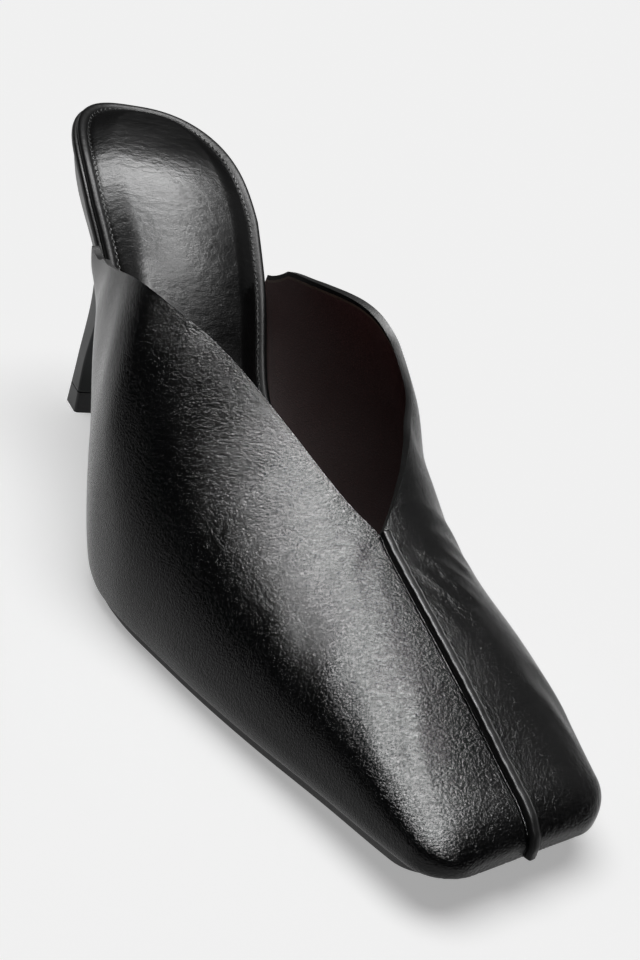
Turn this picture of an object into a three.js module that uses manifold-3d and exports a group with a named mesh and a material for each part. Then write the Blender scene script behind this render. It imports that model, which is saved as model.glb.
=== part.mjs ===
// A right-foot mule with a squared toe, a deep V throat and a slim squared heel.
// Millimetres, +Z up. The toe points to -Y, and the inner side of the foot is at +X.
// The origin is on the floor, under the middle of the shoe's bounding box.

import * as THREE from "three";
import { mergeVertices } from "three/addons/utils/BufferGeometryUtils.js";
import Module from "manifold-3d";

const wasm = await Module();
wasm.setup();

// Length and profile of the last. Places along the shoe are measured forward from the back of the seat.
const shoeLength = 232.3; // back of the insole to the toe edge, on the centre line
const seatHeight = 80.2; // underside of the insole above the floor, at the back of the seat
const ballAt = 128; // where the sole comes down on the floor
const treadLength = 22; // flat stretch of the sole, forward of the ball
const toeSpring = 5.3; // rise of the sole at the toe edge
const seatDish = 1.4; // how much the seat's edge stands above its middle

// Widths of the last
const seatWidth = 50;
const seatLength = 40; // back of the seat to its widest place
const seatOffset = 1.9; // the seat's middle lies this far to the inner side
const seatFullness = 2.6; // exponent of the seat's outline, 2 being an ellipse
const waistWidth = 46;
const ballWidth = 71;
const toeWidth = 48;
const toeCornerLength = 8.1;
const toeCornerWidth = 9;
const toeSlant = 0.23; // the toe edge falls back this much for each millimetre to the inner side
const slantStart = 128; // where the slant begins

// Heights of the upper above the floor
const throatAt = 163.8; // the point of the V
const throatHeight = 38.3;
const toeHeight = 14.5; // top of the toe box, just behind its rounded edge
const toeEdgeDrop = 3.6; // how far the top rounds down into the front face
const throatTip = 0.5; // half the width of the V's blunt point

// Thicknesses and clearances
const upperWall = 1.8;
const soleThickness = 3.4;
const insoleThickness = 2.4;
const sockThickness = 1.4;
const toeThinness = 0.5; // what is left of the insole's and sock's thickness at the toe
const fit = 0.3; // clearance between pieces that touch
const soleInset = 1.6; // the sole's edge lies this far inside the upper's
const soleBevel = 1.6; // how far its lower edge lies inside its upper one
const soleToeInset = 4.8; // the same at the toe
const sockInset = 0.8; // the sock's edge lies this far inside the insole's
const seamWidth = 2.8;
const seamRise = 0.9;

// The heel
const breastAt = 44; // where the sole ends against the heel
const wingsAt = 54; // where the upper's wings begin
const tipBack = 12.7; // back of the heel's tip
const tipLength = 9.4;
const tipWidth = 12;
const tipBackShare = 0.8; // width of the tip's back as a share of its front
const topPieceHeight = 5.5;
const cupDepth = 9; // of the flared cup under the seat
const cupFlare = 8; // how far the cup's lower edge lies inside its upper one
const cupInset = 1.2; // the cup's upper edge lies this far inside the insole's

// Numbers of facets
const formStations = 30; // along the upper, up to the toe's rounded edge
const toeStations = 6;
const wallSteps = 13; // from the sole's edge to the crest, on each side
const plateSteps = 6; // across the sole, insole and sock
const plateStations = 26;
const cornerStations = 6;
const heelStations = 22;
const heelCorner = 4; // facets around each corner of the heel

const floorGap = soleThickness + fit; // underside of the insole at the ball
const upperGrow = upperWall + fit; // from the insole's edge to the upper's outer face
const overshoot = 6; // how far a cutting form passes the form that it cuts
const inner = 1;
const outer = -1;

// The last's bottom from the back of the seat to the ball: rise as a share of the seat's height.
const arch = [
  { at: 0, rise: 1 },
  { at: 0.2, rise: 0.885 },
  { at: 0.4, rise: 0.66 },
  { at: 0.6, rise: 0.335 },
  { at: 0.8, rise: 0.105 },
  { at: 1, rise: 0 },
  { at: 1.2, rise: 0 },
];

// The insole's edge: distance of each side from the centre line, by place as a share of the length.
const plan = [
  { at: seatLength / shoeLength, outer: seatWidth / 2 - seatOffset, inner: seatWidth / 2 + seatOffset },
  { at: 0.26, outer: 0.44 * seatWidth, inner: 0.478 * seatWidth },
  { at: 0.33, outer: 0.56 * waistWidth, inner: 0.452 * waistWidth },
  { at: 0.4, outer: 0.654 * waistWidth, inner: 0.465 * waistWidth },
  { at: 0.46, outer: 0.496 * ballWidth, inner: 0.352 * ballWidth },
  { at: 0.52, outer: 0.546 * ballWidth, inner: 0.403 * ballWidth },
  { at: 0.58, outer: 0.551 * ballWidth, inner: 0.435 * ballWidth },
  { at: 0.64, outer: 0.521 * ballWidth, inner: 0.455 * ballWidth },
  { at: 0.7, outer: 0.487 * ballWidth, inner: 0.469 * ballWidth },
  { at: 0.78, outer: 0.432 * ballWidth, inner: 0.47 * ballWidth },
  { at: 0.86, outer: 0.554 * toeWidth, inner: 0.652 * toeWidth },
  { at: 0.93, outer: 0.506 * toeWidth, inner: 0.569 * toeWidth },
  { at: 1, outer: 0.452 * toeWidth, inner: 0.479 * toeWidth },
];

// The upper's sections. Swell is how far each side stands out past the sole's edge, and belly how high
// up the section it does, as a share of its height. Crest is the height of the middle above the floor.
// Square is the exponent of the curve from belly to crest, 1 being an ellipse and less being squarer.
const sections = [
  { at: 0.17, outer: 0.016, inner: 0.003, belly: 0.247, crest: 2.577, square: 0.9 },
  { at: 0.26, outer: 0.033, inner: 0.021, belly: 0.339, crest: 2.452, square: 0.9 },
  { at: 0.34, outer: 0.055, inner: 0.073, belly: 0.416, crest: 2.269, square: 0.885 },
  { at: 0.43, outer: 0.063, inner: 0.118, belly: 0.495, crest: 2.125, square: 0.873 },
  { at: 0.52, outer: 0.044, inner: 0.082, belly: 0.414, crest: 1.82, square: 0.9 },
  { at: 0.6, outer: 0.031, inner: 0.041, belly: 0.25, crest: 1.376, square: 0.96 },
  { at: throatAt / shoeLength, outer: 0.027, inner: 0.021, belly: 0.19, crest: 1, square: 0.93 },
  { at: 0.79, outer: 0.024, inner: 0.018, belly: 0.18, crest: 0.825, square: 0.85 },
  { at: 0.88, outer: 0.021, inner: 0.018, belly: 0.195, crest: 0.642, square: 0.75 },
  { at: 0.95, outer: 0.016, inner: 0.013, belly: 0.25, crest: 0.478, square: 0.67 },
  { at: 1, outer: 0.011, inner: 0.005, belly: 0.3, crest: toeHeight / throatHeight, square: 0.58 },
].map((row) => ({
  ...row,
  outer: row.outer * ballWidth,
  inner: row.inner * ballWidth,
  crest: row.crest * throatHeight,
}));

// The topline: how far up the wall each side is cut, from 0 at the sole's edge to 1 at the crest.
const topline = [
  { at: wingsAt / shoeLength, outer: 0.08, inner: 0.065 },
  { at: 0.26, outer: 0.13, inner: 0.125 },
  { at: 0.34, outer: 0.297, inner: 0.324 },
  { at: 0.43, outer: 0.447, inner: 0.437 },
  { at: 0.52, outer: 0.672, inner: 0.529 },
  { at: 0.6, outer: 0.847, inner: 0.698 },
  { at: 0.65, outer: 0.9, inner: 0.839 },
  { at: throatAt / shoeLength, outer: 1, inner: 1 },
];

// The heel's sections, by height as a share of the seat's: back and front edges, half the width of the
// front, and the corners' radius as a share of the smaller half size.
const heelSections = [
  { at: 0, back: tipBack, front: tipBack + tipLength, half: tipWidth / 2, corner: 0.2 },
  { at: 0.17, back: tipBack - 0.3, front: tipBack + 0.74 * tipLength, half: 0.45 * tipWidth, corner: 0.2 },
  { at: 0.28, back: tipBack + 0.3, front: tipBack + 0.87 * tipLength, half: 0.46 * tipWidth, corner: 0.2 },
  { at: 0.38, back: tipBack + 0.9, front: tipBack + 1.12 * tipLength, half: 0.5 * tipWidth, corner: 0.22 },
  { at: 0.5, back: 0.28 * breastAt, front: 0.62 * breastAt, half: 0.14 * seatWidth, corner: 0.3 },
  { at: 0.65, back: 0.19 * breastAt, front: 0.82 * breastAt, half: 0.23 * seatWidth, corner: 0.5 },
  { at: 0.78, back: 0.105 * breastAt, front: breastAt - fit, half: 0.345 * seatWidth, corner: 0.7 },
  { at: 0.92, back: 0.045 * breastAt, front: breastAt - fit, half: 0.45 * seatWidth, corner: 0.92 },
  { at: 1.1, back: 0.025 * breastAt, front: breastAt - fit, half: 0.48 * seatWidth, corner: 0.96 },
];

const steps = (count) => Array.from({ length: count + 1 }, (_, k) => k / count);
const clamp = (value) => Math.min(1, Math.max(0, value));

// Value of one column of a table at a place along it, on a smooth curve that doesn't overshoot the rows.
function along(rows, column, at) {
  const last = rows.length - 1;
  if (at <= rows[0].at) return rows[0][column];
  if (at >= rows[last].at) return rows[last][column];
  const slope = (k) => (rows[k + 1][column] - rows[k][column]) / (rows[k + 1].at - rows[k].at);
  const tangent = (k) => {
    if (k === 0) return slope(0);
    if (k === last) return slope(last - 1);
    const product = slope(k - 1) * slope(k);
    return product <= 0 ? 0 : (2 * product) / (slope(k - 1) + slope(k));
  };
  const k = rows.findIndex((row) => row.at > at) - 1;
  const span = rows[k + 1].at - rows[k].at;
  const t = (at - rows[k].at) / span;
  const eased = t * t * (3 - 2 * t);
  const leave = (1 - t) * (1 - t) * t * span * tangent(k);
  const arrive = t * t * (1 - t) * span * tangent(k + 1);
  return rows[k][column] + eased * (rows[k + 1][column] - rows[k][column]) + leave - arrive;
}

// Height of the insole's underside, which is dished at the seat.
function bedHeight(s, x = seatOffset) {
  const treadEnd = ballAt + treadLength;
  const spring = Math.max(0, s - treadEnd) / (shoeLength - treadEnd);
  const dish = seatDish * ((x - seatOffset) / (seatWidth / 2)) ** 2 * clamp(1 - s / ballAt);
  const rise = along(arch, "rise", s / ballAt);
  return floorGap + (seatHeight - floorGap) * rise + toeSpring * spring * spring + dish;
}

// From 0 to 1 as a quarter round runs from its start to its end, for what it takes off a straight side.
function quarterRound(s, end, length) {
  const turn = clamp((s - end + length) / length);
  return 1 - Math.sqrt(1 - turn * turn);
}

// Distance from the centre line to the insole's edge, moved outward by one amount at the sides and back
// and by another at the toe.
function halfWidth(side, s, grow, toeGrow = grow) {
  if (s < seatLength) {
    const back = clamp((seatLength - s) / (seatLength + grow));
    const half = (seatWidth / 2 + grow) * (1 - back ** seatFullness) ** (1 / seatFullness);
    return half + side * seatOffset;
  }
  const column = side === inner ? "inner" : "outer";
  const toeEnd = shoeLength - upperGrow + toeGrow;
  const corner = toeCornerWidth * quarterRound(s, toeEnd, toeCornerLength);
  return along(plan, column, s / shoeLength) + grow - corner;
}

// A point at s along the shoe and x across it. Toward the toe, the sections turn square to its edge.
function place(s, x, z) {
  const t = clamp((s - slantStart) / (shoeLength - slantStart));
  const slant = toeSlant * t * t * (3 - 2 * t);
  return new THREE.Vector3(x, -(s - slant * x), z);
}

// Heights of the layers' tops above the insole's underside. Both layers are pared thin to the toe.
const level = (lift) => () => lift;
const paring = (s) => 1 - (1 - toeThinness) * clamp((s - throatAt) / (shoeLength - throatAt));
const insoleTop = (s) => insoleThickness * paring(s);
const sockTop = (s) => insoleTop(s) + fit + sockThickness * paring(s);

// A point of the bottom layers: across is -1 at the outer edge and 1 at the inner edge, and lift is
// the height above the insole's underside, square to it.
function bedPoint(s, across, lift, grow, toeGrow) {
  const step = 0.5;
  const incline = (bedHeight(s + step) - bedHeight(s - step)) / (2 * step);
  const square = Math.hypot(1, incline);
  const edge = across * halfWidth(across < 0 ? outer : inner, s, grow, toeGrow);
  const x = edge + seatOffset * (1 - Math.abs(across));
  return place(s - (incline / square) * lift, x, bedHeight(s, x) + lift / square);
}

// Where station t of the upper lies, from 0 at the wings' back to 1 at the toe edge. The last stations
// follow the quarter round of the toe edge.
const roundStart = shoeLength - toeCornerLength;
const roundShare = toeStations / (formStations + toeStations);
function stationAt(t) {
  if (t <= 1 - roundShare) return wingsAt + ((roundStart - wingsAt) * t) / (1 - roundShare);
  const angle = ((t - 1 + roundShare) / roundShare) * (Math.PI / 2);
  return roundStart + toeCornerLength * Math.sin(angle);
}

// A point of the upper's outer face: v is -1 at the outer sole edge, 0 on the crest and 1 at the inner.
const bellyShare = 0.16; // share of the way from the sole's edge to the crest that lies under the belly
const tuckAngle = (50 * Math.PI) / 180; // how far the section turns in under the belly
function facePoint(t, v) {
  const s = stationAt(t);
  const side = v < 0 ? outer : inner;
  const value = (column) => along(sections, column, s / shoeLength);
  const edge = halfWidth(side, s, upperGrow);
  const low = bedHeight(s, side * edge);
  const crest = value("crest") - toeEdgeDrop * quarterRound(s, shoeLength, toeCornerLength);
  const belly = low + value("belly") * (crest - low);
  const swell = value(side === inner ? "inner" : "outer");
  const widest = edge + swell;
  const up = 1 - Math.abs(v);
  if (up < bellyShare) {
    const angle = (1 - up / bellyShare) * tuckAngle;
    const tuck = (1 - Math.cos(angle)) / (1 - Math.cos(tuckAngle));
    const down = Math.sin(angle) / Math.sin(tuckAngle);
    return place(s, side * (widest - swell * tuck), belly - (belly - low) * down);
  }
  const angle = ((up - bellyShare) / (1 - bellyShare)) * (Math.PI / 2);
  const reach = Math.max(0, Math.cos(angle)) ** value("square");
  return place(s, side * widest * reach, belly + (crest - belly) * Math.sin(angle) ** value("square"));
}

// The same point moved outward by the given amount, square to the face.
function skinPoint(t, v, out) {
  const step = 1e-4;
  const forward = facePoint(Math.min(1, t + step), v).sub(facePoint(Math.max(0, t - step), v));
  const across = facePoint(t, Math.min(1, v + step)).sub(facePoint(t, Math.max(-1, v - step)));
  return facePoint(t, v).addScaledVector(forward.cross(across).normalize(), out);
}

// A closed solid through rings of equal size, each end closed from point to opposite point.
function loft(rings) {
  const size = rings[0].length;
  const index = [];
  for (let i = 0; i + 1 < rings.length; i++) {
    for (let k = 0; k < size; k++) {
      const a = i * size + k;
      const b = i * size + ((k + 1) % size);
      index.push(a, b, b + size, a, b + size, a + size);
    }
  }
  const end = (rings.length - 1) * size;
  for (let k = 0; 2 * k + 2 < size; k++) {
    const [a, b, c, d] = [k, k + 1, size - 2 - k, size - 1 - k];
    index.push(a, d, b, end + a, end + b, end + d);
    if (b !== c) index.push(b, d, c, end + b, end + c, end + d);
  }
  const geometry = new THREE.BufferGeometry();
  const positions = rings.flat().flatMap((point) => point.toArray());
  geometry.setAttribute("position", new THREE.Float32BufferAttribute(positions, 3));
  geometry.setIndex(index);
  return geometry;
}

function solidOf(geometry) {
  const merged = mergeVertices(geometry, 1e-4);
  const mesh = new wasm.Mesh({
    numProp: 3,
    vertProperties: merged.attributes.position.array,
    triVerts: new Uint32Array(merged.index.array),
  });
  return new wasm.Manifold(mesh);
}

function geometryOf(solid) {
  const mesh = solid.getMesh();
  const geometry = new THREE.BufferGeometry();
  geometry.setAttribute("position", new THREE.BufferAttribute(mesh.vertProperties, 3));
  geometry.setIndex(new THREE.BufferAttribute(mesh.triVerts, 1));
  return geometry;
}

const moved = (points, back, down) => points.map((p) => new THREE.Vector3(p.x, p.y + back, p.z - down));

// The whole form of the upper, moved out by the given amount. It can reach past itself below and behind.
function lastForm(out, below, behind) {
  const rings = steps(formStations + toeStations).map((t) => {
    const ring = steps(2 * wallSteps).map((k) => skinPoint(t, 1 - 2 * k, out));
    if (below === 0) return ring;
    const ends = moved([ring[0], ring.at(-1)], 0, below);
    return [ends[0], ...ring, ends[1]];
  });
  if (behind > 0) rings.unshift(moved(rings[0], behind, 0));
  return solidOf(loft(rings));
}

// What is cut away above the topline: a thick patch of the face, from side to side over the crest.
function collarCutter() {
  const throatStation = ((throatAt - wingsAt) / (roundStart - wingsAt)) * (1 - roundShare);
  const narrowest = throatTip / ballWidth;
  const rings = steps(formStations).map((k) => {
    const t = k * throatStation;
    const at = stationAt(t) / shoeLength;
    const from = -Math.max(narrowest, 1 - along(topline, "outer", at));
    const to = Math.max(narrowest, 1 - along(topline, "inner", at));
    const across = steps(2 * wallSteps).map((share) => from + (to - from) * share);
    const top = across.map((v) => skinPoint(t, v, overshoot));
    const under = across.map((v) => skinPoint(t, v, -upperWall - overshoot));
    return [...under, ...top.reverse()];
  });
  rings.unshift(moved(rings[0], overshoot, 0));
  return solidOf(loft(rings));
}

// The raised seam from the V over the toe edge to the sole: a strip of the form grown by its rise.
function seamStrip() {
  const length = shoeLength + overshoot - throatAt;
  const strip = new THREE.BoxGeometry(seamWidth, length, 3 * throatHeight);
  strip.deleteAttribute("normal");
  strip.deleteAttribute("uv");
  strip.translate(seamWidth / 2, -throatAt - length / 2, 0);
  return lastForm(seamRise, overshoot, 0).intersect(solidOf(strip));
}

// The wall between the outside and the hollow, trimmed to the topline, to the bed below it, and to the
// insole and sock within it.
function makeUpper() {
  const outside = lastForm(0, overshoot, 0).add(seamStrip());
  const hollow = lastForm(-upperWall, overshoot, overshoot);
  const underBed = solidOf(fullLengthPlate(level(-2 * overshoot), level(0), overshoot));
  const bedRoom = solidOf(fullLengthPlate(level(-overshoot), (s) => sockTop(s) + fit, fit));
  const wall = outside.subtract(hollow).subtract(collarCutter());
  return geometryOf(wall.subtract(underBed).subtract(bedRoom));
}

// A layer of the bottom between two lifts, with a ring at each given place. The bevel is how far its
// lower edge lies inside its upper one.
function plate(places, bottom, top, grow, toeGrow, bevel = 0) {
  const across = steps(plateSteps).map((share) => 2 * share - 1);
  const rings = places.map((s) => [
    ...across.map((share) => bedPoint(s, share, bottom(s), grow - bevel, toeGrow)),
    ...across.map((share) => bedPoint(s, share, top(s), grow, toeGrow)).reverse(),
  ]);
  return loft(rings);
}

const seatFlat = 0.12; // angle of the seat's first ring, where its back is as good as flat
function seatPlaces(grow) {
  const angles = steps(cornerStations + 2).map((share) => seatFlat + (Math.PI / 2 - seatFlat) * share);
  return angles.map((angle) => seatLength - (seatLength + grow) * Math.cos(angle));
}

function forwardPlaces(from, toeGrow) {
  const toeEnd = shoeLength - upperGrow + toeGrow;
  const cornerStart = toeEnd - toeCornerLength;
  const straight = steps(plateStations).map((share) => from + (cornerStart - from) * share);
  const angles = steps(cornerStations).slice(1).map((share) => (share * Math.PI) / 2);
  return [...straight, ...angles.map((angle) => cornerStart + toeCornerLength * Math.sin(angle))];
}

function fullLengthPlate(bottom, top, grow) {
  return plate([...seatPlaces(grow), ...forwardPlaces(seatLength, grow).slice(1)], bottom, top, grow);
}

function makeInsole() {
  return fullLengthPlate(level(0), insoleTop, 0);
}

function makeSock() {
  return fullLengthPlate((s) => insoleTop(s) + fit, sockTop, -sockInset);
}

function makeOutsole() {
  const grow = upperGrow - soleInset;
  const toeGrow = upperGrow - soleToeInset;
  const places = forwardPlaces(breastAt, toeGrow);
  return plate(places, level(-fit - soleThickness), level(-fit), grow, toeGrow, soleBevel);
}

// One level section of the heel: a rectangle narrowed to the back, with rounded corners.
function heelRing(height) {
  const value = (column) => along(heelSections, column, height / seatHeight);
  const half = value("half");
  const depth = (value("front") - value("back")) / 2;
  const middle = (value("front") + value("back")) / 2;
  const radius = value("corner") * Math.min(half, depth);
  const corners = [{ x: 1, s: 1 }, { x: -1, s: 1 }, { x: -1, s: -1 }, { x: 1, s: -1 }];
  return corners.flatMap((corner, turn) =>
    steps(heelCorner).map((share) => {
      const angle = ((turn + share) * Math.PI) / 2;
      const along = corner.s * (depth - radius) + radius * Math.sin(angle);
      const across = corner.x * (half - radius) + radius * Math.cos(angle);
      const taper = tipBackShare + (1 - tipBackShare) * (0.5 + along / (2 * depth));
      return new THREE.Vector3(seatOffset + across * taper, -(middle + along), height);
    }),
  );
}

function heelBetween(low, high, count) {
  return loft(steps(count).map((share) => heelRing(high + (low - high) * share)));
}

// The slim column, the cup that flares from it to the seat's edge, and the bed and sole taken off them.
function makeHeel() {
  const column = solidOf(heelBetween(topPieceHeight + fit, 1.1 * seatHeight, heelStations));
  const cupPlaces = [...seatPlaces(-cupInset), breastAt - fit];
  const keel = (s) => -2 * fit - cupDepth * Math.sin(Math.PI * clamp(s / breastAt));
  const cup = solidOf(plate(cupPlaces, keel, level(-fit), -cupInset, -cupInset, cupFlare));
  const places = steps(plateStations).map((share) => -overshoot + (ballAt + overshoot) * share);
  const above = solidOf(plate(places, level(-fit), level(6 * overshoot), overshoot));
  const underSole = level(-soleThickness - 2 * fit);
  const soleRoom = solidOf(plate([breastAt - fit, ballAt], underSole, level(0), overshoot));
  return geometryOf(column.subtract(above).add(cup).subtract(soleRoom));
}

function makeTopPiece() {
  return heelBetween(0, topPieceHeight, 1);
}

const shoe = new THREE.Group();
function addPiece(name, geometry, color, roughness) {
  const mesh = new THREE.Mesh(geometry, new THREE.MeshStandardMaterial({ color, roughness, metalness: 0 }));
  mesh.name = name;
  shoe.add(mesh);
}

addPiece("upper", makeUpper(), 0x0b0b0c, 0.32);
addPiece("outsole", makeOutsole(), 0x0c0c0c, 0.6);
addPiece("insole", makeInsole(), 0x0d0d0e, 0.35);
addPiece("sock", makeSock(), 0x0d0d0e, 0.24);
addPiece("heel", makeHeel(), 0x111213, 0.4);
addPiece("top_piece", makeTopPiece(), 0x0d0d0d, 0.55);

const box = new THREE.Box3().setFromObject(shoe);
const middle = box.getCenter(new THREE.Vector3());
shoe.position.set(-middle.x, -middle.y, -box.min.z);

export default shoe;
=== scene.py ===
import math

import bmesh
import bpy
import numpy as np
from mathutils import Matrix, Quaternion, Vector
from mathutils.kdtree import KDTree


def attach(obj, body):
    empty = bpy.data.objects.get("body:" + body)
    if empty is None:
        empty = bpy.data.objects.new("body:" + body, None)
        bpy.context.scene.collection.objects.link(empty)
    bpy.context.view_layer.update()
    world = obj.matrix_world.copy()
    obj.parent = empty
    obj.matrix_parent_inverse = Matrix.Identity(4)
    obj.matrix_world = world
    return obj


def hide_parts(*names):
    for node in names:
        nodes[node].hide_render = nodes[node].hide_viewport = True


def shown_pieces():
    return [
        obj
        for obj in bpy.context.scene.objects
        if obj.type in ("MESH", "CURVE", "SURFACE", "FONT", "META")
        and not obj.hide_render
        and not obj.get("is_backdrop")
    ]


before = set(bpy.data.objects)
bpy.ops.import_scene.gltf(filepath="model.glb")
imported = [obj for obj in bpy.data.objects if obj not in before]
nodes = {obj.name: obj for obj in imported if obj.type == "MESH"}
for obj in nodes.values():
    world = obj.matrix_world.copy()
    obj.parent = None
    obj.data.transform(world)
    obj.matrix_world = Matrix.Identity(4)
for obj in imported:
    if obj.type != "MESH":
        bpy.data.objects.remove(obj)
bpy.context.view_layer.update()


# The upper: black fine-grained leather lasted over a squared toe, cut low in a deep V at the front and
# sloping to the sole at the back. Its two halves meet on the centre line under the raised seam.
# Sizes are millimetres on the last, with places measured forward from the back of the seat. The tables
# hold shares of them, each at its place along the shoe.
mm = 0.001
shoe_length = 232.3
seat_height = 80.2
ball_at = 128.0
tread_length = 22.0
toe_spring = 5.3
seat_dish = 1.4
seat_width = 50.0
seat_length = 40.0
seat_offset = 1.9
seat_fullness = 2.6
waist_width = 46.0
ball_width = 71.0
toe_width = 48.0
toe_corner_length = 8.1
toe_corner_width = 9.0
toe_slant = 0.23
slant_start = 128.0
throat_at = 163.8
throat_height = 38.3
toe_height = 14.5
toe_edge_drop = 3.6
wings_at = 54.0
upper_wall = 1.8
clearance = 0.3
sole_thickness = 3.4
floor_gap = sole_thickness + clearance
upper_grow = upper_wall + clearance
frame_shift = np.array([3.52, 118.22, 0.0])

arch_at = [0, 0.2, 0.4, 0.6, 0.8, 1, 1.2]
arch_rise = [1, 0.885, 0.66, 0.335, 0.105, 0, 0]

plan_at = [seat_length / shoe_length, 0.26, 0.33, 0.4, 0.46, 0.52, 0.58, 0.64, 0.7, 0.78, 0.86, 0.93, 1]
plan_size = [seat_width] * 2 + [waist_width] * 2 + [ball_width] * 6 + [toe_width] * 3
plan_outer = [0.462, 0.44, 0.56, 0.654, 0.496, 0.546, 0.551, 0.521, 0.487, 0.432, 0.554, 0.506, 0.452]
plan_inner = [0.538, 0.478, 0.452, 0.465, 0.352, 0.403, 0.435, 0.455, 0.469, 0.47, 0.652, 0.569, 0.479]

section_at = [0.17, 0.26, 0.34, 0.43, 0.52, 0.6, throat_at / shoe_length, 0.79, 0.88, 0.95, 1]
section_outer = [0.016, 0.033, 0.055, 0.063, 0.044, 0.031, 0.027, 0.024, 0.021, 0.016, 0.011]
section_inner = [0.003, 0.021, 0.073, 0.118, 0.082, 0.041, 0.021, 0.018, 0.018, 0.013, 0.005]
section_belly = [0.247, 0.339, 0.416, 0.495, 0.414, 0.25, 0.19, 0.18, 0.195, 0.25, 0.3]
section_crest = [
    2.577, 2.452, 2.269, 2.125, 1.82, 1.376, 1, 0.825, 0.642, 0.478, toe_height / throat_height,
]
section_square = [0.9, 0.9, 0.885, 0.873, 0.9, 0.96, 0.93, 0.85, 0.75, 0.67, 0.58]

topline_at = [wings_at / shoe_length, 0.26, 0.34, 0.43, 0.52, 0.6, 0.65, throat_at / shoe_length]
topline_outer = [0.085, 0.118, 0.29, 0.452, 0.672, 0.843, 0.905, 1]
topline_inner = [0.05, 0.13, 0.318, 0.437, 0.529, 0.698, 0.839, 1]
topline_reach = 0.05


def along(at, values, x):
    """Value of a table's column at x, on a smooth curve that doesn't overshoot the rows."""
    at, values, x = (np.asarray(a, float) for a in (at, values, x))
    slope = np.diff(values) / np.diff(at)
    product = slope[:-1] * slope[1:]
    total = slope[:-1] + slope[1:]
    inside = np.where(product <= 0, 0, 2 * product / np.where(total == 0, 1, total))
    tangent = np.concatenate([slope[:1], inside, slope[-1:]])
    x = np.clip(x, at[0], at[-1])
    k = np.clip(np.searchsorted(at, x, side="right") - 1, 0, len(at) - 2)
    span = at[k + 1] - at[k]
    t = (x - at[k]) / span
    eased = t * t * (3 - 2 * t)
    leave = (1 - t) ** 2 * t * span * tangent[k]
    arrive = t * t * (1 - t) * span * tangent[k + 1]
    return values[k] + eased * (values[k + 1] - values[k]) + leave - arrive


def flowing(at, values, x, reach=0.035):
    """The same column averaged over a short stretch, so that light runs over it without kinks."""
    x = np.asarray(x, float)
    near = np.minimum(reach, np.maximum(0, np.minimum(x - at[0], at[-1] - x)))
    steps = np.linspace(-1, 1, 9)
    weights = 1.2 - np.abs(steps)
    total = sum(w * along(at, values, x + near * step) for w, step in zip(weights, steps))
    return total / weights.sum()


def bed_height(s, x=seat_offset):
    """Height of the insole's underside."""
    tread_end = ball_at + tread_length
    spring = np.maximum(0, s - tread_end) / (shoe_length - tread_end)
    dish = seat_dish * ((x - seat_offset) / (seat_width / 2)) ** 2 * np.clip(1 - s / ball_at, 0, 1)
    rise = along(arch_at, arch_rise, s / ball_at)
    return floor_gap + (seat_height - floor_gap) * rise + toe_spring * spring ** 2 + dish


def corner_fall(s, end):
    """How far the toe's rounded corner has fallen away at s: 0 where it starts and 1 at its end."""
    turn = np.clip((s - end + toe_corner_length) / toe_corner_length, 0, 1)
    return 1 - np.sqrt(np.maximum(0, 1 - turn ** 2))


def half_width(side, s, grow, toe_grow=None):
    """Distance from the centre line to the insole's edge, moved outward by grow."""
    toe_grow = grow if toe_grow is None else toe_grow
    s, grow = np.broadcast_arrays(np.asarray(s, float), np.asarray(grow, float))
    back = np.clip((seat_length - s) / (seat_length + grow), 0, 1)
    round_part = np.maximum(0, 1 - back ** seat_fullness) ** (1 / seat_fullness)
    seat = (seat_width / 2 + grow) * round_part + side * seat_offset
    share = np.array(plan_inner if side > 0 else plan_outer)
    corner = toe_corner_width * corner_fall(s, shoe_length - upper_grow + toe_grow)
    fore = flowing(plan_at, share * np.array(plan_size), s / shoe_length) + grow - corner
    return np.where(s < seat_length, seat, fore)


def place(s, x, z):
    """Points at s along the shoe and x across it, with the sections turned square to the toe edge."""
    t = np.clip((s - slant_start) / (shoe_length - slant_start), 0, 1)
    slant = toe_slant * t * t * (3 - 2 * t)
    s, x, z, slant = np.broadcast_arrays(s, x, z, slant)
    return np.stack([x, -(s - slant * x), z], -1)


def section(side, s):
    """One side's section at s: the heights of the sole's edge, belly and crest, the distance to the
    widest point, how far that swells past the sole, and how square the section is above it."""
    u = s / shoe_length
    edge = half_width(side, s, upper_grow)
    low = bed_height(s, side * edge)
    drop = toe_edge_drop * corner_fall(s, shoe_length)
    crest = throat_height * flowing(section_at, section_crest, u) - drop
    belly = low + flowing(section_at, section_belly, u) * (crest - low)
    swell = ball_width * flowing(section_at, section_inner if side > 0 else section_outer, u)
    return low, belly, crest, edge + swell, swell, flowing(section_at, section_square, u)


def face(side, s, up):
    """Points of one side's outer face: up is 0 at the sole's edge and 1 on the crest."""
    belly_share, tuck_angle = 0.16, math.radians(50)
    low, belly, crest, widest, swell, square = section(side, s)
    tuck = (1 - np.clip(up / belly_share, 0, 1)) * tuck_angle
    low_x = widest - swell * (1 - np.cos(tuck)) / (1 - math.cos(tuck_angle))
    low_z = belly - (belly - low) * np.sin(tuck) / math.sin(tuck_angle)
    turn_in = np.clip((up - belly_share) / (1 - belly_share), 0, 1) * math.pi / 2
    high_x = widest * np.maximum(0, np.cos(turn_in)) ** square
    high_z = belly + (crest - belly) * np.sin(turn_in) ** square
    under = up < belly_share
    return place(s, side * np.where(under, low_x, high_x), np.where(under, low_z, high_z))


def normals_of(points):
    """Unit normals of a grid of points, from its two directions."""
    normal = np.cross(np.gradient(points, axis=0), np.gradient(points, axis=1))
    length = np.linalg.norm(normal, axis=-1, keepdims=True)
    return normal / np.where(length < 1e-12, 1, length)


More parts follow.
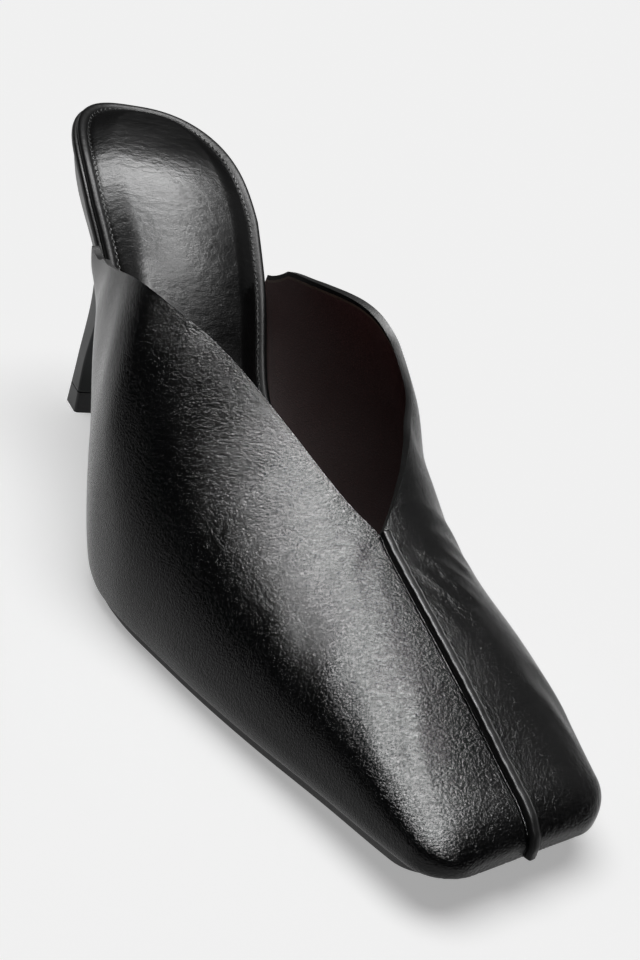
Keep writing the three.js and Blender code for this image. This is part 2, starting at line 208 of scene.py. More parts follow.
def lay_grid(bm, points, marks=None):
    """Adds a grid of faces to bm and lays its vertices on an array of points in millimetres. Each of
    the marks is an array of the same rows and columns, kept on the vertices under its name."""
    rows, columns = points.shape[:2]
    layers = [(bm.verts.layers.float.new(name), values) for name, values in (marks or {}).items()]
    made = bmesh.ops.create_grid(bm, x_segments=columns - 1, y_segments=rows - 1, size=1)
    moved = (points + frame_shift) * mm
    for vertex in made["verts"]:
        row = round((vertex.co.y + 1) / 2 * (rows - 1))
        column = round((vertex.co.x + 1) / 2 * (columns - 1))
        vertex.co = moved[row, column]
        for layer_key, values in layers:
            vertex[layer_key] = values[row, column]


def finished(bm, name, materials):
    """The mesh as an object of the scene, smooth shaded."""
    mesh = bpy.data.meshes.new(name)
    bm.to_mesh(mesh)
    bm.free()
    for polygon in mesh.polygons:
        polygon.use_smooth = True
    piece = bpy.data.objects.new(name, mesh)
    bpy.context.scene.collection.objects.link(piece)
    for material in materials:
        mesh.materials.append(material)
    return piece


# Soft folds of the leather: where each starts and ends, as its place along the shoe and its share of
# the way down the side from the crest, with the half width and the depth in millimetres.
folds_outer = [
    (160.5, 0.04, 170.5, 0.26, 1.7, 0.13), (158.0, 0.08, 164.0, 0.38, 2.0, 0.14),
    (154.0, 0.13, 157.0, 0.46, 2.2, 0.12), (165.5, 0.03, 180.0, 0.15, 1.5, 0.09),
    (147.0, 0.20, 148.0, 0.52, 3.0, 0.12), (112.0, 0.40, 126.0, 0.72, 5.0, 0.30),
    (84.0, 0.72, 104.0, 0.84, 4.0, 0.12), (196.0, 0.24, 214.0, 0.42, 3.5, 0.25),
    (176.0, 0.34, 188.0, 0.60, 3.8, 0.25),
]
folds_inner = [
    (165.0, 0.05, 171.0, 0.34, 1.8, 0.24), (163.0, 0.07, 165.0, 0.42, 2.0, 0.24),
    (167.5, 0.05, 182.0, 0.24, 1.7, 0.18), (159.0, 0.11, 158.5, 0.50, 2.4, 0.20),
    (171.0, 0.05, 193.0, 0.15, 1.8, 0.12), (153.0, 0.18, 149.0, 0.56, 3.0, 0.18),
    (136.0, 0.36, 128.0, 0.66, 4.2, 0.45), (102.0, 0.60, 112.0, 0.80, 4.2, 0.40),
    (198.0, 0.30, 212.0, 0.56, 3.2, 0.24),
]


def fold_depth(folds, s, down):
    """How far the face is pushed in by the folds, with a low ridge on each side of every trough."""
    half_girth = 58.0
    bend_size, bend_turns = 0.9, 5
    full_reach, fade = 0.3, 0.03
    ridge_height, ridge_at, ridge_width = 0.45, 1.9, 0.8
    depth = np.zeros(np.broadcast(s, down).shape)
    for s0, d0, s1, d1, width, deep in folds:
        run = np.array([s1 - s0, (d1 - d0) * half_girth])
        length = np.hypot(*run)
        run = run / length
        ds, dd = s - s0, (down - d0) * half_girth
        ahead = (ds * run[0] + dd * run[1]) / length
        bend = bend_size * np.sin(ahead * bend_turns + s0)
        off = (ds * -run[1] + dd * run[0] + bend) / width
        ends = np.exp(-np.maximum(0, np.abs(ahead - 0.5) - full_reach) ** 2 / fade)
        ridges = ridge_height * np.exp(-((np.abs(off) - ridge_at) / ridge_width) ** 2)
        depth += deep * ends * (np.exp(-off ** 2) - ridges)
    return depth


def upper_half(side, topline, folds):
    """One half of the face with its folds: rows run to the toe edge and down the front face. They lie
    closer together near the crest, and a fine groove runs there beside the seam."""
    stations, toe_rows, front_rows, rows_up = 200, 26, 10, 86
    crowding, crest_gap = 1.75, 0.5
    groove_depth, groove_at, groove_width, groove_start = 0.4, 0.25, 0.3, 3
    round_start = shoe_length - toe_corner_length
    straight = wings_at + (round_start - wings_at) * np.linspace(0, 1, stations)
    turned = round_start + toe_corner_length * np.sin(np.linspace(0, math.pi / 2, toe_rows + 1)[1:])
    s = np.concatenate([straight, turned])[:, None]
    down = (np.linspace(0, 1, rows_up + 1) ** crowding)[None, :]
    tip = crest_gap / ball_width
    cut = flowing(topline_at, topline, s / shoe_length, topline_reach)
    top = np.where(s < throat_at, np.minimum(1 - tip * (s < throat_at), cut), 1)
    up = (1 - down) * top
    points = face(side, s, up)
    normal = normals_of(points) * side
    points = points - normal * fold_depth(folds, s, 1 - up)[..., None]
    x = np.abs(points[..., 0])
    groove = groove_depth * np.exp(-((x - groove_at) / groove_width) ** 2)
    groove = groove * np.clip((s - throat_at) / groove_start, 0, 1)
    points[..., 2] -= groove if side < 0 else 0
    top_z = points[-1][None, :, 2]
    floor_z = bed_height(shoe_length)
    sink = np.linspace(0, 1, front_rows + 1)[1:, None]
    front = np.repeat(points[-1][None], front_rows, 0)
    front[..., 2] = top_z + (np.minimum(floor_z, top_z) - top_z) * sink
    return np.concatenate([points, front])


weld, toe_weld = 2e-5, 2.5e-4
toe_zone, toe_weld_top, toe_foot_top = 0.0145, 0.0105, 0.0125
bm = bmesh.new()
for side, topline, folds in ((-1, topline_outer, folds_outer), (1, topline_inner, folds_inner)):
    lay_grid(bm, upper_half(side, topline, folds))
bmesh.ops.remove_doubles(bm, verts=bm.verts, dist=weld)
front_y = min(vertex.co.y for vertex in bm.verts) + toe_zone
low_front = [v for v in bm.verts if v.co.y < front_y and v.co.z < toe_weld_top]
bmesh.ops.remove_doubles(bm, verts=low_front, dist=toe_weld)
bmesh.ops.recalc_face_normals(bm, faces=bm.faces)
if sum(f.normal.z * f.calc_area() for f in bm.faces) < 0:
    bmesh.ops.reverse_faces(bm, faces=bm.faces)

# How far each point lies from the topline, for the edge line of the lining
rim_samples = 400
rim_tree = KDTree(2 * rim_samples)
rim_s = np.linspace(wings_at, throat_at, rim_samples)
for number, (side, topline) in enumerate(((-1, topline_outer), (1, topline_inner))):
    rim = face(side, rim_s, flowing(topline_at, topline, rim_s / shoe_length, topline_reach))
    for k, point in enumerate((rim + frame_shift) * mm):
        rim_tree.insert(point, number * rim_samples + k)
rim_tree.balance()
rim_layer = bm.verts.layers.float.new("from_rim")
for vertex in bm.verts:
    vertex[rim_layer] = rim_tree.find(vertex.co)[2] * 1000


def new_group(name, sockets_in, sockets_out):
    """A shader group with its input and output nodes."""
    group = bpy.data.node_groups.new(name, "ShaderNodeTree")
    for socket, kind, value in sockets_in:
        made = group.interface.new_socket(name=socket, in_out="INPUT", socket_type=kind)
        made.default_value = value
    for socket, kind in sockets_out:
        group.interface.new_socket(name=socket, in_out="OUTPUT", socket_type=kind)
    return group, group.nodes.new("NodeGroupInput"), group.nodes.new("NodeGroupOutput")


def math_node(tree, operation, a, b=None):
    """A math node fed by sockets or plain values."""
    node = tree.nodes.new("ShaderNodeMath")
    node.operation = operation
    for socket, value in zip(node.inputs, (a, b)):
        if value is None:
            continue
        if hasattr(value, "is_linked"):
            tree.links.new(value, socket)
        else:
            socket.default_value = value
    return node.outputs[0]


def texture(tree, kind, scale, vector, detail=2.0):
    """A noise or cell texture on the given coordinates."""
    node = tree.nodes.new(kind)
    node.inputs["Scale"].default_value = scale
    if "Detail" in node.inputs:
        node.inputs["Detail"].default_value = detail
    tree.links.new(vector, node.inputs["Vector"])
    return node


def bump_node(tree, height, distance):
    """A bump that follows a height, over a distance in metres."""
    node = tree.nodes.new("ShaderNodeBump")
    node.inputs["Distance"].default_value = distance
    tree.links.new(height, node.inputs["Height"])
    return node


def remap(tree, value, low, high, to_low, to_high):
    """The value moved from one range into another and held inside it."""
    node = tree.nodes.new("ShaderNodeMapRange")
    ends = {"From Min": low, "From Max": high, "To Min": to_low, "To Max": to_high}
    for socket, end in ends.items():
        node.inputs[socket].default_value = end
    tree.links.new(value, node.inputs["Value"])
    return node.outputs["Result"]


def plain(name, color, roughness):
    """A plain material, and its shader for what else is set on it."""
    material = bpy.data.materials.new(name)
    material.use_nodes = True
    shader = material.node_tree.nodes["Principled BSDF"]
    shader.inputs["Base Color"].default_value = (*color, 1)
    shader.inputs["Roughness"].default_value = roughness
    return material, shader


# Leather grain: small pebbles of uneven size with finer creases between them. Wear is a slow
# patchiness of the gloss.
grain_group, grain_in, grain_out = new_group(
    "leather_grain",
    [("Pebbles", "NodeSocketFloat", 1.0)],
    [("Height", "NodeSocketFloat"), ("Wear", "NodeSocketFloat")],
)
grain_map = grain_group.nodes.new("ShaderNodeMapping")
grain_map.inputs["Scale"].default_value = (0.65, 1.1, 1.0)
grain_coords = grain_group.nodes.new("ShaderNodeTexCoord")
grain_group.links.new(grain_coords.outputs["Object"], grain_map.inputs["Vector"])
grain_object = grain_map.outputs["Vector"]
grain_bend = texture(grain_group, "ShaderNodeTexNoise", 800.0, grain_object)
grain_mix = grain_group.nodes.new("ShaderNodeVectorMath")
grain_mix.operation = "MULTIPLY_ADD"
grain_group.links.new(grain_bend.outputs["Color"], grain_mix.inputs[0])
grain_mix.inputs[1].default_value = (0.0008, 0.0008, 0.0008)
grain_group.links.new(grain_object, grain_mix.inputs[2])
pebbles = texture(grain_group, "ShaderNodeTexVoronoi", 2100.0, grain_mix.outputs[0])
fine = texture(grain_group, "ShaderNodeTexNoise", 3800.0, grain_object)
coarse = texture(grain_group, "ShaderNodeTexNoise", 520.0, grain_object, 3.0)
pebble_share = grain_in.outputs["Pebbles"]
pebble_height = math_node(grain_group, "MULTIPLY", pebbles.outputs["Distance"], pebble_share)
rough_height = math_node(grain_group, "MULTIPLY", fine.outputs["Fac"], 0.5)
slow_height = math_node(grain_group, "MULTIPLY", coarse.outputs["Fac"], 0.12)
summed = math_node(grain_group, "SUBTRACT", rough_height, pebble_height)
grain_group.links.new(math_node(grain_group, "ADD", summed, slow_height), grain_out.inputs["Height"])
patches = texture(grain_group, "ShaderNodeTexNoise", 55.0, grain_object, 4.0)
grain_group.links.new(patches.outputs["Fac"], grain_out.inputs["Wear"])


def leather(name, color, rough_low, rough_high, pebble, relief, specular=0.16):
    """Leather with grain: its bump follows the grain's height and its gloss the wear."""
    wear_low, wear_high = 0.3, 0.7
    material, shader = plain(name, color, rough_high)
    tree = material.node_tree
    shader.inputs["Specular IOR Level"].default_value = specular
    grain = tree.nodes.new("ShaderNodeGroup")
    grain.node_tree = grain_group
    grain.inputs["Pebbles"].default_value = pebble
    bump = bump_node(tree, grain.outputs["Height"], relief)
    tree.links.new(bump.outputs["Normal"], shader.inputs["Normal"])
    gloss = remap(tree, grain.outputs["Wear"], wear_low, wear_high, rough_low, rough_high)
    tree.links.new(gloss, shader.inputs["Roughness"])
    return material


def soften(piece, width, segments, degrees):
    """A small round on the edges of a piece that turn by more than the given angle."""
    edges = piece.modifiers.new("edges", "BEVEL")
    edges.width = width
    edges.segments = segments
    edges.limit_method = "ANGLE"
    edges.angle_limit = math.radians(degrees)


upper_leather = leather("upper_leather", (0.0022, 0.0023, 0.0026), 0.15, 0.23, 1.0, 0.000075)
rim_leather = leather("rim_leather", (0.003, 0.003, 0.003), 0.36, 0.46, 0.6, 0.00004)

# The lining is a dark wine red, with a black turned edge and a pale line of raw leather at the topline
lining_color = (0.13, 0.052, 0.049)
lining = leather("lining", lining_color, 0.62, 0.8, 0.5, 0.00005, specular=0.3)
lining_tree = lining.node_tree
rim_distance = lining_tree.nodes.new("ShaderNodeAttribute")
rim_distance.attribute_name = "from_rim"
edge_ramp = lining_tree.nodes.new("ShaderNodeValToRGB")
edge_ramp.color_ramp.elements[0].position = 0.28
edge_ramp.color_ramp.elements[0].color = (0.004, 0.004, 0.004, 1)
edge_ramp.color_ramp.elements[1].position = 0.5
edge_ramp.color_ramp.elements[1].color = (*lining_color, 1)
for position in (0.32, 0.42):
    edge_ramp.color_ramp.elements.new(position).color = (0.2, 0.13, 0.1, 1)
edge_reach = math_node(lining_tree, "MULTIPLY", rim_distance.outputs["Fac"], 0.25)
lining_tree.links.new(edge_reach, edge_ramp.inputs["Fac"])
lining_shader = lining_tree.nodes["Principled BSDF"]
lining_tree.links.new(edge_ramp.outputs["Color"], lining_shader.inputs["Base Color"])

upper = finished(bm, "upper_skin", [upper_leather, lining, rim_leather])
wall = upper.modifiers.new("wall", "SOLIDIFY")
wall.thickness = upper_wall * mm
wall.offset = -1
wall.use_even_offset = False
wall.material_offset = 1
wall.material_offset_rim = 2
wall_share = upper.vertex_groups.new(name="wall_share")
toe_foot = [v.index for v in upper.data.vertices if v.co.y < front_y and v.co.z < toe_foot_top]
toe_foot_share = 0.05
wall_share.add([v.index for v in upper.data.vertices], 1.0, "REPLACE")
wall_share.add(toe_foot, toe_foot_share, "REPLACE")
wall.vertex_group = "wall_share"
soften(upper, 0.0007, 3, 55)
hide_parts("upper")
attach(upper, "root")


# The raised seam: a narrow flat band of the same leather on the inner side of the centre line, from the
# V over the toe edge and down to the sole, with a stitched groove along its outer side.
def crest_points(s, x):
    """Points of the inner side's face at s along and x across, near the crest."""
    _, belly, crest, widest, _, square = section(1, s)
    angle = np.arccos(np.clip(np.abs(x) / widest, 0, 1) ** (1 / square))
    return place(s, x, belly + (crest - belly) * np.sin(angle) ** square)


band_across = np.array([
    -0.12, -0.06, 0.0, 0.08, 0.25, 0.7, 1.3, 1.8, 2.05, 2.2, 2.35, 2.55, 2.7, 2.78, 2.82,
])
band_lift = np.array([
    -0.5, 0.2, 0.7, 0.98, 1.12, 1.14, 1.1, 1.02, 0.86, 0.56, 0.66, 0.66, 0.44, 0.1, -0.5,
])
band_overlap = 0.4
band_rows, band_toe_rows, band_front_rows = 150, 26, 8
band_waves = [(0.05, 0.37, 0), (0.04, 0.83, 1)]
toe_round_at = shoe_length - toe_corner_length
band_s = np.concatenate([
    np.linspace(throat_at - band_overlap, toe_round_at, band_rows),
    toe_round_at + toe_corner_length * np.sin(np.linspace(0, math.pi / 2, band_toe_rows)[1:]),
])
band = crest_points(band_s[:, None], band_across[None, :])
band_foot = bed_height(shoe_length) - band_overlap
band_drop = np.linspace(0, 1, band_front_rows + 1)[1:, None]
band_front = np.repeat(band[-1][None], band_front_rows, 0)
band_front[..., 2] += (band_foot - band_front[..., 2]) * band_drop
band = np.concatenate([band, band_front])
band_normal = normals_of(band)
band_normal *= np.sign(band_normal[..., 2:3].sum())
band_row = np.arange(len(band))
wave = sum(height * np.sin(band_row * rate + phase) for height, rate, phase in band_waves)
waved_lift = band_lift[None, :, None] + wave[:, None, None] * (band_lift > 0)[None, :, None]
band = band + band_normal * waved_lift
fine_weld = 3e-6
bm = bmesh.new()
lay_grid(bm, np.concatenate([band, band[:, :1]], 1))
bmesh.ops.remove_doubles(bm, verts=bm.verts, dist=fine_weld)
bmesh.ops.holes_fill(bm, edges=[e for e in bm.edges if e.is_boundary], sides=0)
bmesh.ops.recalc_face_normals(bm, faces=bm.faces)
band_leather = leather("band_leather", (0.006, 0.0062, 0.0064), 0.34, 0.46, 0.5, 0.00005)
seam = finished(bm, "seam_band", [band_leather])
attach(seam, "root")


# The outsole: a thin leather sole with painted matt edges, set in from the upper and tapered to the
# floor side. It starts against the heel's breast.
def bed_points(s, x, lift):
    """Points of the bottom layers, lifted square to the insole's underside."""
    step = 0.5
    incline = (bed_height(s + step) - bed_height(s - step)) / (2 * step)
    square = np.hypot(1, incline)
    return place(s - incline / square * lift, x, bed_height(s, x) + lift / square)


def layer(profile, grow, middle, start=None, paring=0.0, crown=0.0, toe_inset=0.0, tuck=0.0):
    """A layer of the bottom, from the back of the seat or from start. Profile rows hold inset and lift,
    from the hidden side round the edge. It can be thinned toward the toe, padded up in the seat, set
    further in at the toe, and tucked in where it starts."""
    seat_rows, body_rows, toe_rows = 35, 90, 12
    tuck_run, tuck_power = 18, 1.5
    pad_inset, pad_rise, pad_power, pad_reach = 3.2, 5.3, 0.8, 1.4
    inset, lift = (np.array(column, float) for column in zip(*profile))
    across = np.linspace(-1, 1, middle)[1:-1]
    sides = np.concatenate([-np.ones(len(inset)), across, np.ones(len(inset))])
    insets = np.concatenate([inset, np.full(middle - 2, inset[-1]), inset[::-1]])
    lifts = np.concatenate([lift, np.full(middle - 2, lift[-1]), lift[::-1]])
    toe_end = shoe_length - upper_grow + grow - toe_inset - insets - toe_corner_length
    rows = []
    if start is None:
        for angle in np.linspace(0, math.pi / 2, seat_rows + 1)[:-1]:
            rows.append(seat_length - (seat_length + grow - insets) * math.cos(angle))
    first = seat_length if start is None else start
    for share in np.linspace(0, 1, body_rows):
        rows.append(first + (toe_end - first) * share)
    for share in np.sin(np.linspace(0, math.pi / 2, toe_rows + 1)[1:]):
        rows.append(toe_end + toe_corner_length * share)
    s = np.stack(rows)
    tucked = tuck * np.clip((first + tuck_run - s) / tuck_run, 0, 1) ** tuck_power
    reach_out = grow - insets[None, :] - tucked
    outer = half_width(-1, s, reach_out, reach_out - toe_inset)
    inner = half_width(1, s, reach_out, reach_out - toe_inset)
    x = np.where(sides < 0, sides * outer, sides * inner) + seat_offset * (1 - np.abs(sides))
    thin = 1 - paring * np.clip((s - throat_at) / (shoe_length - throat_at), 0, 1)
    reach = np.clip(np.abs(x - seat_offset) / (seat_width / 2), 0, 1)
    from_edge = np.clip((insets - pad_inset) / pad_rise, 0, 1) ** pad_power
    padded = from_edge * np.clip(pad_reach - s / throat_at, 0, 1)
    dome = crown * padded * (1 - reach ** 2)
    return bed_points(s, x, (lifts + dome) * thin)


def layer_object(name, points, materials, marks=None):
    """A layer's grid as an object, closed row by row on its hidden side and from side to side at
    its ends, with its back row welded."""
    def closed(grid):
        return np.concatenate([grid, grid[:, :1]], 1)

    bm = bmesh.new()
    lay_grid(bm, closed(points), {mark: closed(values) for mark, values in (marks or {}).items()})
    bm.verts.ensure_lookup_table()
    columns = points.shape[1]
    for first in (0, (len(points) - 1) * (columns + 1)):
        end_row = bm.verts[first:first + columns]
        for k in range(columns // 2 - 1):
            bm.faces.new((end_row[k], end_row[k + 1], end_row[-2 - k], end_row[-1 - k]))
    bmesh.ops.remove_doubles(bm, verts=bm.verts, dist=fine_weld)
    bmesh.ops.recalc_face_normals(bm, faces=bm.faces)
    return finished(bm, name, materials)


sole_profile = [
    (7, -0.3), (0.3, -0.3), (0.08, -0.38), (0, -0.55), (0.35, -1.4), (0.8, -2.4), (1.2, -3.2),
    (1.4, -3.5), (1.75, -3.68), (2.3, -3.7), (6, -3.7), (10, -3.7),
]
breast_at = 44.0
sole_set_in = 1.6
sole_edge, sole_shader = plain("sole_edge", (0.013, 0.0125, 0.0125), 0.6)
sole_tree = sole_edge.node_tree
sole_grain = sole_tree.nodes.new("ShaderNodeGroup")
sole_grain.node_tree = grain_group
sole_bump = bump_node(sole_tree, sole_grain.outputs["Height"], 0.00005)
sole_tree.links.new(sole_bump.outputs["Normal"], sole_shader.inputs["Normal"])
sole_grow = upper_grow - sole_set_in
outsole_points = layer(sole_profile, sole_grow, 14, start=breast_at, toe_inset=3.2, tuck=2.6)
outsole = layer_object("outsole_layer", outsole_points, [sole_edge])
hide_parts("outsole")
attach(outsole, "root")


# The insole board, wrapped in the upper's leather with a rolled edge that shows behind the wings.
insole_profile = [
    (6, 0), (1.1, 0), (0.45, 0.12), (0.12, 0.45), (0, 0.95), (0.02, 1.45), (0.14, 1.95), (0.42, 2.28),
    (0.85, 2.4), (1.6, 2.42), (8, 2.42),
]
insole = layer_object("insole_wrap", layer(insole_profile, 0.0, 8, paring=0.5), [rim_leather])
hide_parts("insole")
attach(insole, "root")


# The sock: glossy smooth leather over a thin foam pad, with a soft raised rim and a stitched groove
# about three millimetres in. It wrinkles finely across the foot.
sock_profile = [
    (5, 2.7), (0.35, 2.7), (0.06, 2.85), (0, 3.15), (0.08, 3.55), (0.3, 3.88), (0.65, 4.1), (1.1, 4.2),
    (1.6, 4.18), (2.05, 4.05), (2.4, 3.86), (2.65, 3.68), (2.85, 3.6), (3.05, 3.68), (3.3, 3.84),
    (3.7, 4.0), (4.3, 4.14), (5.2, 4.26), (6.6, 4.36), (8.5, 4.42),
]
stitch_line, line_sharpness, stitch_rate, stitch_height = 2.85, 2.6, 3.5, 3.0
sock_leather = leather("sock_leather", (0.006, 0.006, 0.0064), 0.2, 0.3, 0.4, 0.000035, specular=0.08)
sock_tree = sock_leather.node_tree
sock_shader = sock_tree.nodes["Principled BSDF"]
wrinkle_map = sock_tree.nodes.new("ShaderNodeMapping")
wrinkle_map.inputs["Scale"].default_value = (0.5, 1.0, 0.7)
sock_coords = sock_tree.nodes.new("ShaderNodeTexCoord")
sock_tree.links.new(sock_coords.outputs["Object"], wrinkle_map.inputs["Vector"])
wrinkles = texture(sock_tree, "ShaderNodeTexNoise", 620.0, wrinkle_map.outputs["Vector"], 3.0)
from_edge = sock_tree.nodes.new("ShaderNodeAttribute")
from_edge.attribute_name = "from_edge"
along_edge = sock_tree.nodes.new("ShaderNodeAttribute")
along_edge.attribute_name = "along_edge"
past_line = math_node(sock_tree, "SUBTRACT", from_edge.outputs["Fac"], stitch_line)
off_line = math_node(sock_tree, "MULTIPLY", math_node(sock_tree, "ABSOLUTE", past_line), line_sharpness)
on_line = math_node(sock_tree, "MAXIMUM", math_node(sock_tree, "SUBTRACT", 1.0, off_line), 0.0)
along_line = math_node(sock_tree, "MULTIPLY", along_edge.outputs["Fac"], stitch_rate)
beat = math_node(sock_tree, "MAXIMUM", math_node(sock_tree, "SINE", along_line), 0.0)
stitch = math_node(sock_tree, "MULTIPLY", on_line, beat)
raised_stitch = math_node(sock_tree, "MULTIPLY", stitch, stitch_height)
sock_height = math_node(sock_tree, "ADD", wrinkles.outputs["Fac"], raised_stitch)
grain_bump = sock_shader.inputs["Normal"].links[0].from_node
wrinkle_bump = bump_node(sock_tree, sock_height, 0.00009)
sock_tree.links.new(wrinkle_bump.outputs["Normal"], grain_bump.inputs["Normal"])

# Its raised rim is duller than the rest
worn_rim = remap(sock_tree, from_edge.outputs["Fac"], 2.2, 4.5, 0.38, 0.0)
sock_gloss = sock_shader.inputs["Roughness"].links[0].from_socket
sock_rough = math_node(sock_tree, "MAXIMUM", sock_gloss, worn_rim)
sock_tree.links.new(sock_rough, sock_shader.inputs["Roughness"])
sock_middle, middle_inset = 22, 9.0
sock_points = layer(sock_profile, -0.8, sock_middle, paring=0.5, crown=2.6)
sock_inset = np.array([inset for inset, _ in sock_profile])
sock_across = np.concatenate([sock_inset, np.full(sock_middle - 2, middle_inset), sock_inset[::-1]])
sock_steps = np.linalg.norm(np.diff(sock_points, axis=0), axis=-1)
sock_marks = {
    "from_edge": np.repeat(sock_across[None], len(sock_points), 0),
    "along_edge": np.concatenate([np.zeros((1, len(sock_across))), np.cumsum(sock_steps, 0)]),
}
sock = layer_object("sock_pad", sock_points, [sock_leather], sock_marks)
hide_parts("sock")
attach(sock, "root")


# The heel: a slim squared column, narrower toward the back, flaring into a cup under the seat. It is
# covered in smooth leather.
tip_back = 12.7
tip_length = 9.4
tip_width = 12.0
top_piece_height = 5.5
heel_at = [0, 0.17, 0.28, 0.38, 0.5, 0.65, 0.78, 0.92, 1.1]
heel_back = [tip_back, tip_back - 0.3, tip_back + 0.3, tip_back + 0.9, 12.3, 8.4, 4.6, 2.0, 1.1]
heel_front = [
    tip_back + tip_length, tip_back + 0.74 * tip_length, tip_back + 0.87 * tip_length,
    tip_back + 1.12 * tip_length, 27.3, 36.1, 43.7, 43.7, 43.7,
]
heel_half = [tip_width / 2, 5.4, 5.52, 6.0, 7.0, 11.5, 17.25, 22.5, 24.0]
heel_corner = [0.2, 0.2, 0.2, 0.22, 0.3, 0.5, 0.7, 0.92, 0.96]
corner_steps = 14
turn = np.linspace(0, 1, corner_steps)
ring_angle = np.concatenate([(number + turn) * math.pi / 2 for number in range(4)])
corner_x = np.repeat([1, -1, -1, 1], corner_steps)
corner_s = np.repeat([1, 1, -1, -1], corner_steps)


def heel_ring(z):
    """The ring's points, each at its own height: their shares of the half width and half depth, and
    their places across and along. The ring is narrower toward the back."""
    back_width, widening = 0.8, 0.2
    u = z / seat_height
    columns = (heel_back, heel_front, heel_half, heel_corner)
    back, front, half, corner = (along(heel_at, column, u) for column in columns)
    depth, middle = (front - back) / 2, (front + back) / 2
    radius = corner * np.minimum(half, depth)
    lengthwise = corner_s * (depth - radius) + radius * np.sin(ring_angle)
    sideways = corner_x * (half - radius) + radius * np.cos(ring_angle)
    taper = back_width + widening * (0.5 + lengthwise / (2 * depth))
    return sideways / half, lengthwise / depth, seat_offset + sideways * taper, middle + lengthwise


cup_at, cup_edge, cup_corner = 0.97, 1.2, 3.7
flare_at, flare_power, heel_rows_up = 0.5, 2.6, 90
top_across, top_along, _, _ = heel_ring(np.full(ring_angle.shape, cup_at * seat_height))
top_turn = np.arctan2(top_along, np.abs(top_across))
sine, cosine = np.abs(np.sin(top_turn)), np.abs(np.cos(top_turn))
back_s = seat_length - (seat_length - cup_edge) * sine ** (2 / seat_fullness)
back_half = (seat_width / 2 - cup_edge) * cosine ** (2 / seat_fullness)
front_s = np.minimum(breast_at - clearance, seat_length + cup_corner * top_turn / (math.pi / 4))
narrowing = np.clip((math.pi / 2 - top_turn) / (math.pi / 4), 0, 1)
seat_s = np.where(top_turn < 0, back_s, front_s)
seat_half = np.where(top_turn < 0, back_half, (seat_width / 2 - cup_edge) * narrowing)
seat_x = seat_offset + np.sign(top_across) * seat_half
seat_z = bed_points(seat_s, seat_x, np.full(seat_s.shape, -clearance))[..., 2]
heel_rows = []
for share in np.linspace(0, 1, heel_rows_up):
    z = top_piece_height + clearance + (seat_z - top_piece_height - clearance) * share
    _, _, ring_x, ring_s = heel_ring(z)
    flare = np.clip((share - flare_at) / (1 - flare_at), 0, 1) ** flare_power
    heel_rows.append(place(ring_s + (seat_s - ring_s) * flare, ring_x + (seat_x - ring_x) * flare, z))
heel_points = np.stack(heel_rows)
heel_points = np.concatenate([heel_points, heel_points[:, :1]], 1)
heel_cover = leather("heel_cover", (0.03, 0.032, 0.032), 0.32, 0.42, 0.4, 0.00003)
heel = layer_object("heel_column", heel_points, [heel_cover])
soften(heel, 0.0003, 2, 60)
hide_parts("heel")
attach(heel, "root")


# The top piece: a hard black wear pad under the heel's tip, with a hairline joint above it.
top_piece = nodes["top_piece"]
rubber, _ = plain("top_piece_rubber", (0.013, 0.013, 0.014), 0.5)
top_piece.data.materials.clear()
top_piece.data.materials.append(rubber)
soften(top_piece, 0.0003, 2, 50)


# The studio: a pale floor that runs past the picture under a broad soft sky, and lights for the shoe
# alone. Three softboxes show only as highlights, on the vamp, the seat and the toe edge. Two wide
# fills light the leather itself.
scene = bpy.context.scene
floor_reach = 6
bm = bmesh.new()
bmesh.ops.create_grid(bm, x_segments=1, y_segments=1, size=floor_reach)
paper, paper_shader = plain("paper", (0.83, 0.83, 0.83), 1.0)
paper_shader.inputs["Specular IOR Level"].default_value = 0.0
paper_shader.inputs["Emission Color"].default_value = (1, 1, 1, 1)
paper_shader.inputs["Emission Strength"].default_value = 0.352
floor = finished(bm, "floor", [paper])
floor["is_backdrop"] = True

world = bpy.data.worlds.new("studio")
scene.world = world
world.use_nodes = True
background = world.node_tree.nodes["Background"]
background.inputs["Color"].default_value = (1, 1, 1, 1)
background.inputs["Strength"].default_value = 0.05


def lamp(name, kind, energy, toward, **settings):
    """A light that shines from the given direction."""
    data = bpy.data.lights.new(name, kind)
    data.energy = energy
    for key, value in settings.items():
        setattr(data, key, value)
    made = bpy.data.objects.new(name, data)
    made.rotation_mode = "QUATERNION"
    made.rotation_quaternion = Vector(toward).to_track_quat("Z", "Y")
    scene.collection.objects.link(made)
    return made


shoe_only = bpy.data.collections.new("lit_by_softboxes")
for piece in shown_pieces():
    shoe_only.objects.link(piece)
floor_only = bpy.data.collections.new("lit_by_sky")
floor_only.objects.link(floor)
sky = lamp("sky", "SUN", 1.85, (-0.12, 0.14, 0.98), angle=math.radians(55))
sky.light_linking.receiver_collection = floor_only

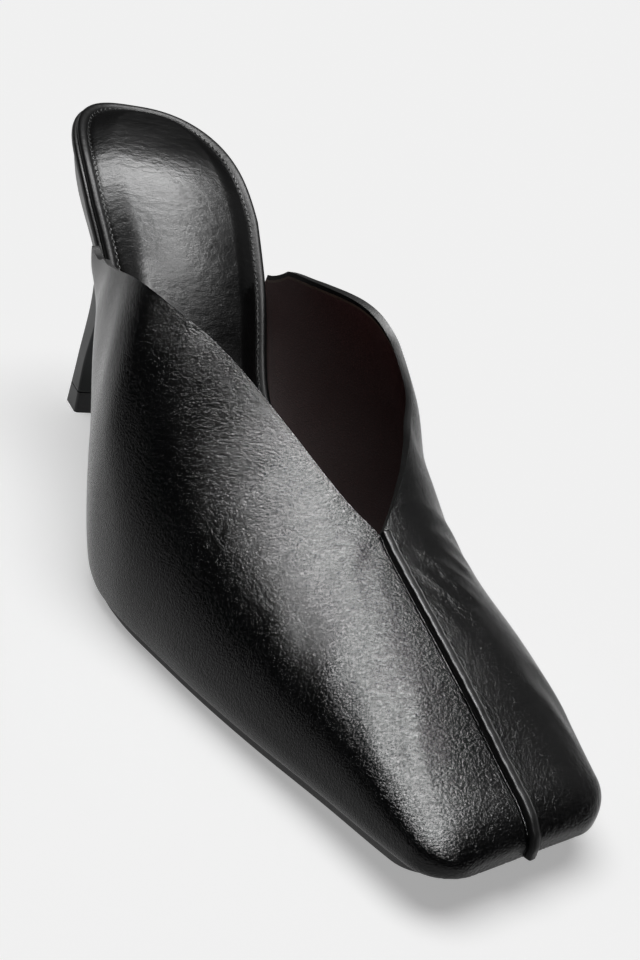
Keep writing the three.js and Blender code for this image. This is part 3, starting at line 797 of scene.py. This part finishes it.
# Each box's power, direction, distance, width, length and twist about its own direction
softboxes = [
    ("vamp_box", 40.0, (0.06, 0.24, 0.97), 1.0, 0.9, 0.17, 13),
    ("seat_box", 6.0, (0.4, -0.02, 0.91), 1.0, 0.36, 0.11, 7),
    ("toe_box", 14.0, (0.18, -0.27, 0.93), 1.0, 0.3, 0.1, 0),
    ("soft_fill", 2.4, (0.1, 0.1, 0.98), 1.1, 0.9, 0.9, 0),
    ("side_fill", 0.3, (0.85, 0.25, 0.5), 1.0, 0.5, 0.8, 0),
]
for name, power, toward, distance, wide, long, twist in softboxes:
    box = lamp(name, "AREA", power, toward, shape="RECTANGLE", size=wide, size_y=long)
    facing = Vector(toward).normalized()
    box.rotation_quaternion = Quaternion(facing, math.radians(twist)) @ box.rotation_quaternion
    box.location = facing * distance
    box.light_linking.receiver_collection = shoe_only
    box.visible_diffuse = name.endswith("fill")
    box.visible_glossy = name != "soft_fill"

# The camera stands close on the outer front side, rolled so that the shoe falls to the right.
azimuth, elevation, roll = math.radians(-34.52), math.radians(22.71), math.radians(16.11)
camera_distance = 0.37994
level = math.cos(elevation)
back = Vector((math.sin(azimuth) * level, -math.cos(azimuth) * level, math.sin(elevation)))
level_right = Vector((math.cos(azimuth), math.sin(azimuth), 0))
level_up = back.cross(level_right)
right = math.cos(roll) * level_right + math.sin(roll) * level_up
up = -math.sin(roll) * level_right + math.cos(roll) * level_up
look_at = Vector((0.0, -0.120, 0.025)) + Vector(frame_shift) * mm
lens = bpy.data.cameras.new("camera")
lens.lens = 61.55
lens.sensor_width = 36
lens.shift_x = 0.0538
lens.shift_y = 0.0155
lens.clip_start = 0.01
camera = bpy.data.objects.new("camera", lens)
scene.collection.objects.link(camera)
turned = Matrix((right, up, back)).transposed().to_4x4()
camera.matrix_world = Matrix.Translation(look_at + back * camera_distance) @ turned
scene.camera = camera
scene.render.resolution_x = 640
scene.render.resolution_y = 960
scene.view_settings.view_transform = "Standard"
scene.view_settings.look = "None"

bpy.context.view_layer.update()
